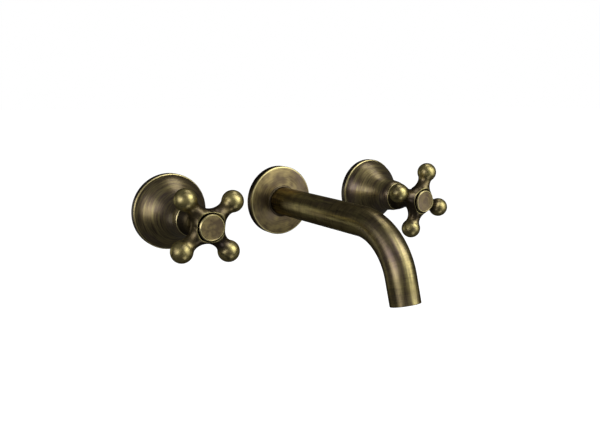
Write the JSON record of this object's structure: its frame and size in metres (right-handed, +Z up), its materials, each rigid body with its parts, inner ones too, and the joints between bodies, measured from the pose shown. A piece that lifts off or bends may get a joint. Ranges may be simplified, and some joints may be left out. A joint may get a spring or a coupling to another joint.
{
  "type": "wall-mounted basin mixer faucet",
  "caption": "Wall-mounted basin mixer in aged brass: cross handles on bell-shaped covers, either side of a plain round spout that bends down.",
  "frame": {"origin": "on the wall's finished face, at the centre of the spout's flange", "axes": "+X to the right along the wall as seen from the room, +Y into the wall, +Z up"},
  "size_m": [0.2658, 0.2022, 0.0856],
  "materials": {
    "antique_brass": "antique bronzed brass, brushed, with edges rubbed bright",
    "plain_brass": "machined",
    "steel": "plain stainless steel",
    "rubber": "matt black",
    "nylon": "off-white engineering plastic",
    "ceramic": "lapped alumina"
  },
  "bodies": {
    "body": {"hot_thrust_washer": "nylon", "hot_bonnet": "plain_brass", "hot_bonnet_seal": "rubber", "hot_fixed_disc": "ceramic", "hot_disc_seal": "rubber", "hot_bell": "antique_brass", "hot_bell_gasket": "rubber", "cold_thrust_washer": "nylon", "cold_bonnet": "plain_brass", "cold_bonnet_seal": "rubber", "cold_fixed_disc": "ceramic", "cold_disc_seal": "rubber", "cold_bell": "antique_brass", "cold_bell_gasket": "rubber", "spout_tube": "antique_brass", "spout_flange": "antique_brass", "flange_seal": "rubber", "spout_gasket": "rubber", "spout_nipple": "plain_brass", "nipple_seals": "rubber", "grub_screw": "steel", "aerator_housing": "antique_brass", "aerator_screen": "nylon", "aerator_seal": "rubber"},
    "hot_cross": {"hot_handle": "antique_brass", "hot_handle_cap": "antique_brass", "hot_cap_seal": "rubber", "hot_handle_screw": "steel", "hot_spline_bush": "nylon", "hot_spindle": "plain_brass", "hot_spindle_seals": "rubber", "hot_circlip": "steel", "hot_moving_disc": "ceramic"},
    "cold_cross": {"cold_handle": "antique_brass", "cold_handle_cap": "antique_brass", "cold_cap_seal": "rubber", "cold_handle_screw": "steel", "cold_spline_bush": "nylon", "cold_spindle": "plain_brass", "cold_spindle_seals": "rubber", "cold_circlip": "steel", "cold_moving_disc": "ceramic"}
  },
  "joints": [
    {"name": "hot_handle_turn", "type": "hinge", "parent": "body", "child": "hot_cross", "pos_m": [-0.1016, 0, 0], "axis": [0, -1, 0], "range_deg": [0, 90]},
    {"name": "cold_handle_turn", "type": "hinge", "parent": "body", "child": "cold_cross", "pos_m": [0.1016, 0, 0], "axis": [0, -1, 0], "range_deg": [0, 90]}
  ]
}
